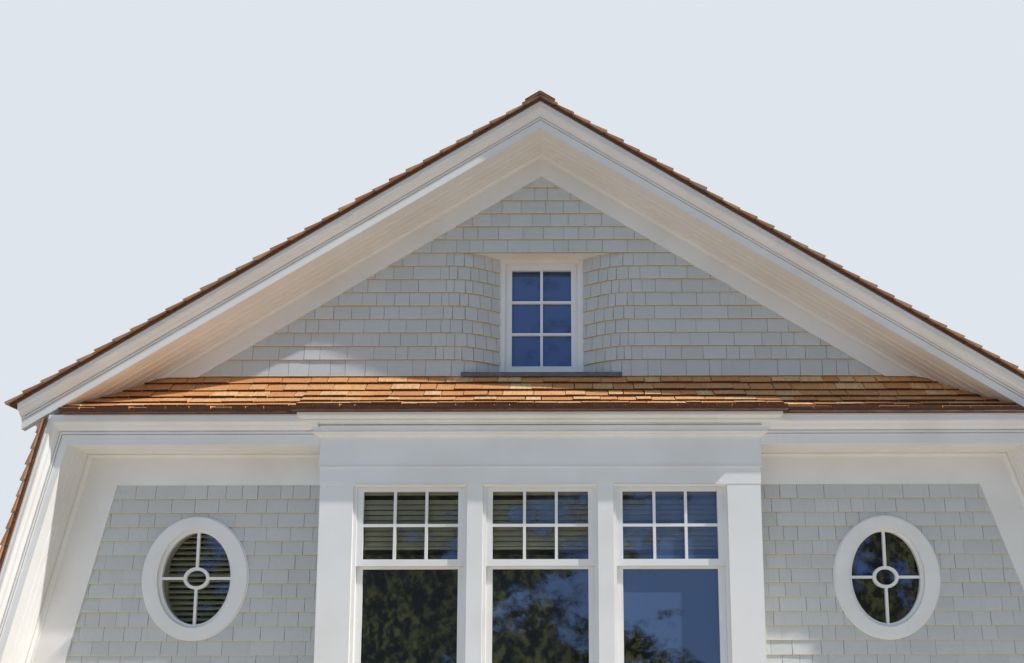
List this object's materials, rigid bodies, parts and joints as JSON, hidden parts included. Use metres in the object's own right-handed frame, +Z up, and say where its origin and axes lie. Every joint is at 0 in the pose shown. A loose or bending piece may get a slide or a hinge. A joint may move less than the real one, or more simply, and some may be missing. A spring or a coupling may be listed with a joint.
{
  "type": "dormer window",
  "caption": "Pedimented gambrel dormer front with a shingled gable, recessed window, pent roof, deep cornice, window bay and oval windows.",
  "frame": {"origin": "on the floor line under the middle of the front, in the plane of the wall face", "axes": "+X to the right along the front, +Y back into the building, +Z up; the front faces -Y"},
  "size_m": [10.0371, 4.225, 5.7693],
  "materials": {
    "trim_paint": "satin white paint on timber",
    "wall_paint": "matt pale blue-grey paint on shingles",
    "cedar": "weathered cedar shingles",
    "timber": "bare sawn timber",
    "shutter": "painted slats",
    "flashing": "dark dulled sheet metal",
    "pane": "clear window glass"
  },
  "bodies": {
    "root": {"floor_deck": "timber", "front_wall_left": "wall_paint", "front_wall_right": "wall_paint", "party_wall": "wall_paint", "attic_floor": "timber", "bay_apron": "trim_paint", "bay_corner_boards": "trim_paint", "bay_mullions": "trim_paint", "bay_frieze": "trim_paint", "bay_cornice": "trim_paint", "bay_frames": "trim_paint", "bay_upper_sashes": "trim_paint", "bay_lower_sashes": "trim_paint", "bay_glass": "pane", "oval_casing_left": "trim_paint", "oval_casing_right": "trim_paint", "oval_sash_left": "trim_paint", "oval_sash_right": "trim_paint", "oval_glass": "pane", "oval_shutter": "shutter", "gable_wall": "wall_paint", "recess_cheeks": "wall_paint", "recess_soffit": "trim_paint", "gable_casing": "trim_paint", "gable_sash": "trim_paint", "gable_glass": "pane", "gable_flashing": "flashing", "upper_roof": "timber", "upper_shingles_left": "cedar", "upper_shingles_right": "cedar", "ridge_cap": "cedar", "lower_slope_left": "timber", "lower_slope_right": "timber", "lower_shingles_left": "cedar", "lower_shingles_right": "cedar", "rake_cornice": "trim_paint", "rake_soffit": "trim_paint", "rake_frieze": "trim_paint", "side_cornice_left": "trim_paint", "side_cornice_right": "trim_paint", "side_soffits": "trim_paint", "side_frieze_left": "trim_paint", "side_frieze_right": "trim_paint", "eave_returns": "trim_paint", "pent_roof": "cedar"}
  },
  "joints": []
}
